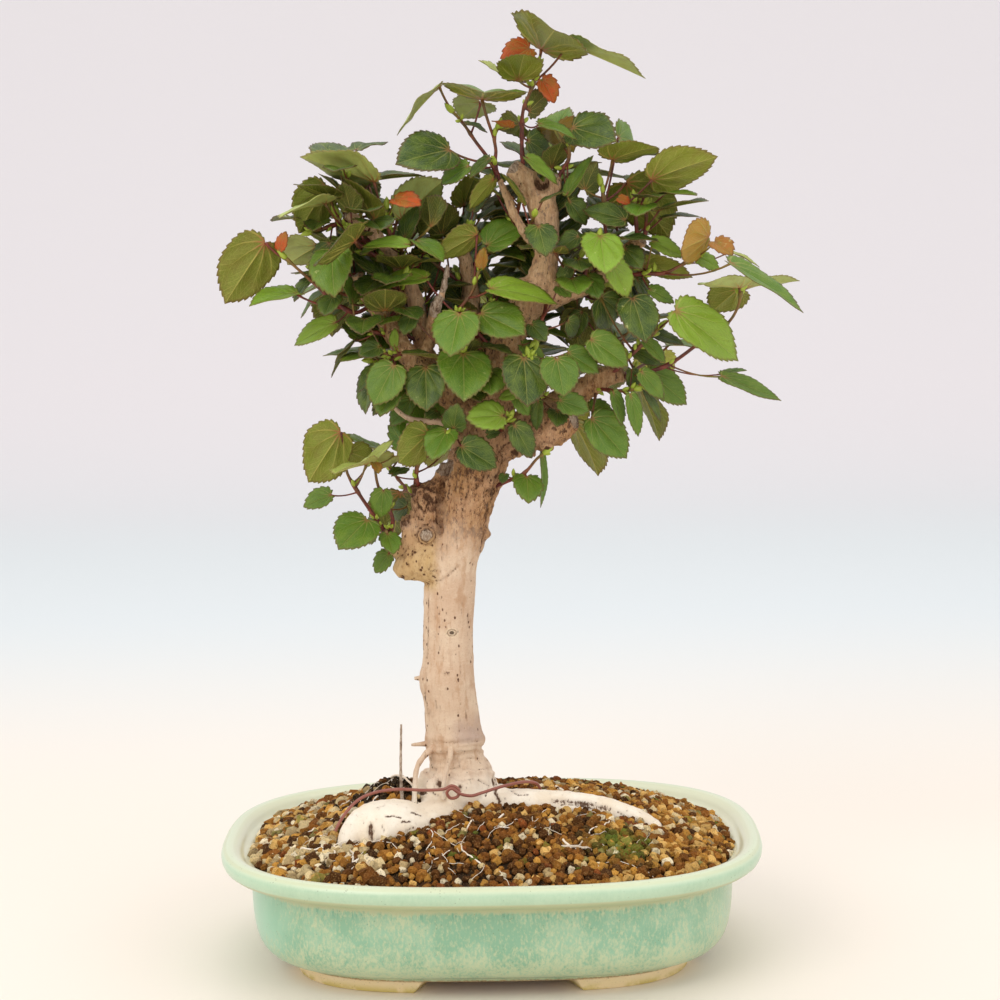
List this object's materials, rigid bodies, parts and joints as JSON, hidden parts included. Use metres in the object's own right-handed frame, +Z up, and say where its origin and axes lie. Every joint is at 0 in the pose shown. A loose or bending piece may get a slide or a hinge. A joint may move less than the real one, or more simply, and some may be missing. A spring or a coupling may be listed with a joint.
{
  "type": "potted bonsai tree",
  "caption": "Sea hibiscus bonsai: pale leaning trunk on spread surface roots, forked branches with heart-shaped leaves, in a footed oval glazed pot filled with coarse soil.",
  "frame": {"origin": "on the ground under the middle of the whole part's bounding box", "axes": "+Z up, +Y to the back, -Y to the front that the picture shows, +X to the right as seen from the front"},
  "size_m": [0.4088, 0.299, 0.6542],
  "materials": {
    "glaze": "satin mint-green glaze with cream mottling",
    "screen": "matt black mesh",
    "soil": "coarse brown, ochre and cream grains",
    "bark": "pale cream-tan bark with dark lenticels",
    "wire": "reddish-brown coated tie wire",
    "leaf": "green leaf, satin",
    "young_leaf": "orange young leaf, satin",
    "amber_leaf": "amber leaf, satin"
  },
  "bodies": {
    "root": {"drain_screen_left": "screen", "drain_screen_right": "screen", "pot": "glaze", "shoot_back_1": "leaf", "shoot_back_10": "leaf", "shoot_back_11": "leaf", "shoot_back_12": "leaf", "shoot_back_2": "leaf", "shoot_back_3": "leaf", "shoot_back_4": "leaf", "shoot_back_5": "leaf", "shoot_back_6": "leaf", "shoot_back_7": "leaf", "shoot_back_8": "leaf", "shoot_back_9": "leaf", "shoot_crotch_shoot": "leaf", "shoot_far_left": "leaf", "shoot_front_left": "leaf", "shoot_left_crown": "leaf", "shoot_left_hang": "leaf", "shoot_low_left_inner": "leaf", "shoot_low_left_outer": "leaf", "shoot_mid_left": "leaf", "shoot_right_fork": "leaf", "shoot_right_inner": "leaf", "shoot_right_long": "leaf", "shoot_right_low": "leaf", "shoot_right_mid": "leaf", "shoot_right_upper": "leaf", "shoot_stub_shoot": "leaf", "shoot_stump_shoot": "leaf", "shoot_top_centre": "leaf", "shoot_top_left": "leaf", "shoot_top_outer": "leaf", "shoot_top_right": "leaf", "shoot_trunk_front": "leaf", "shoot_trunk_left": "leaf", "shoot_trunk_right": "leaf", "shoot_upper_left": "leaf", "soil": "soil", "tie_wire": "wire", "wood": "bark", "young_leaf_1": "young_leaf", "young_leaf_10": "young_leaf", "young_leaf_11": "young_leaf", "young_leaf_12": "young_leaf", "young_leaf_2": "young_leaf", "young_leaf_3": "amber_leaf", "young_leaf_4": "young_leaf", "young_leaf_5": "amber_leaf", "young_leaf_6": "amber_leaf", "young_leaf_7": "amber_leaf", "young_leaf_8": "young_leaf", "young_leaf_9": "amber_leaf"}
  },
  "joints": []
}
